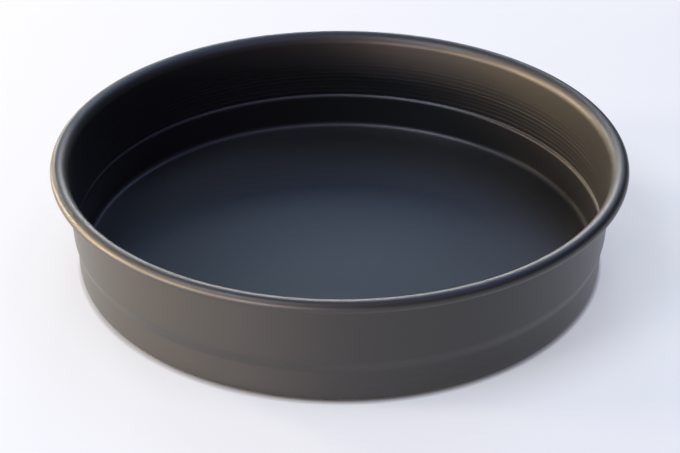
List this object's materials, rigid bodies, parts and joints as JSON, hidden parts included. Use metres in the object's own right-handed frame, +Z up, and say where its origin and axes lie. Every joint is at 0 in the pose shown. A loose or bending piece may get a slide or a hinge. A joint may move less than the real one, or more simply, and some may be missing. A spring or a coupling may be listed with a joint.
{
  "type": "deep dish pizza pan",
  "caption": "Round deep pan of dark anodised aluminium sheet, with a flat floor, a stacking ledge low on its near-upright wall and a flared rim rolled over into a bead.",
  "frame": {"origin": "centre of the underside, on the surface that the pan stands on", "axes": "+Z up along the axis that the pan is spun about; X and Y are alike"},
  "size_m": [0.3782, 0.3782, 0.0778],
  "materials": {
    "anodised_aluminium": "satin dark hard anodised, with fine turned rings inside the upper wall"
  },
  "bodies": {
    "root": {"pan_body": "anodised_aluminium"}
  },
  "joints": []
}
